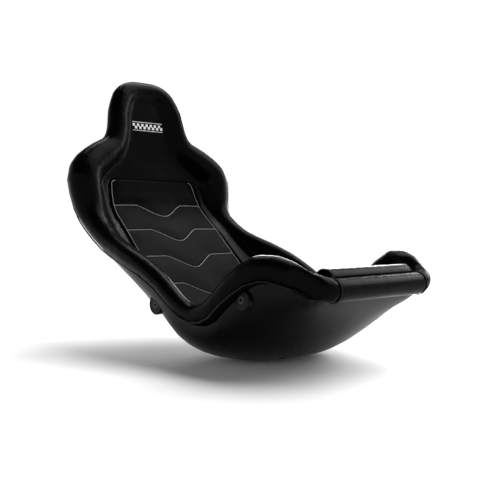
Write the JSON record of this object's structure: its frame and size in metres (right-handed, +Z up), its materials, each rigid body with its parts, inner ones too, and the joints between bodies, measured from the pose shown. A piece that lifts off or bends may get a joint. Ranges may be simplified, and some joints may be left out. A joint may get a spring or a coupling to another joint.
{
  "type": "racing seat",
  "caption": "Reclined one-piece racing bucket seat in a glossy composite shell, black vinyl with a padded roll round the rim and a lift-off thigh roll.",
  "frame": {"origin": "bottom centre of the seat's box, on the floor under the keel of the shell", "axes": "+X to the left side of the person sitting in it, +Y towards the back, +Z up; the seat faces -Y; pieces and mounts named right are on +X"},
  "size_m": [0.544, 0.9003, 0.7266],
  "materials": {
    "shell": "satin moulded laminate",
    "insert": "zinc plated",
    "vinyl": "fine-grained black vinyl with a soft sheen",
    "piping": "satin welt cord",
    "back_vinyl": "matte fine-grained vinyl, stitched seams",
    "badge": "embroidered",
    "foam": "open-cell foam",
    "tape": "hook-and-loop",
    "plywood": "raw birch plywood"
  },
  "bodies": {
    "seat": {"outer_shell": "shell", "mount_bosses": "shell", "threaded_inserts": "insert", "head_roll": "vinyl", "right_side_roll": "vinyl", "left_side_roll": "vinyl", "front_roll_cover": "vinyl", "headrest_cover": "vinyl", "right_bolster_cover": "vinyl", "left_bolster_cover": "vinyl", "rim_piping": "piping", "back_panel_1": "back_vinyl", "back_panel_2": "back_vinyl", "back_panel_3": "back_vinyl", "back_panel_4": "back_vinyl", "back_panel_5": "back_vinyl", "seat_panel": "back_vinyl", "headrest_badge": "badge", "headrest_foam": "foam", "back_foam": "foam", "right_bolster_foam": "foam", "left_bolster_foam": "foam", "seat_foam": "foam", "right_thigh_foam": "foam", "left_thigh_foam": "foam", "front_roll_foam": "foam", "leg_support_block": "foam", "loop_strips": "tape"},
    "leg_support": {"hook_strips": "tape", "leg_support_board": "plywood", "leg_support_foam": "foam", "leg_support_cover": "vinyl", "leg_support_caps": "vinyl"}
  },
  "joints": [
    {"name": "leg_support_lift", "type": "slide", "parent": "seat", "child": "leg_support", "axis": [0, 0, 1], "range_m": [0, 0.12]}
  ]
}
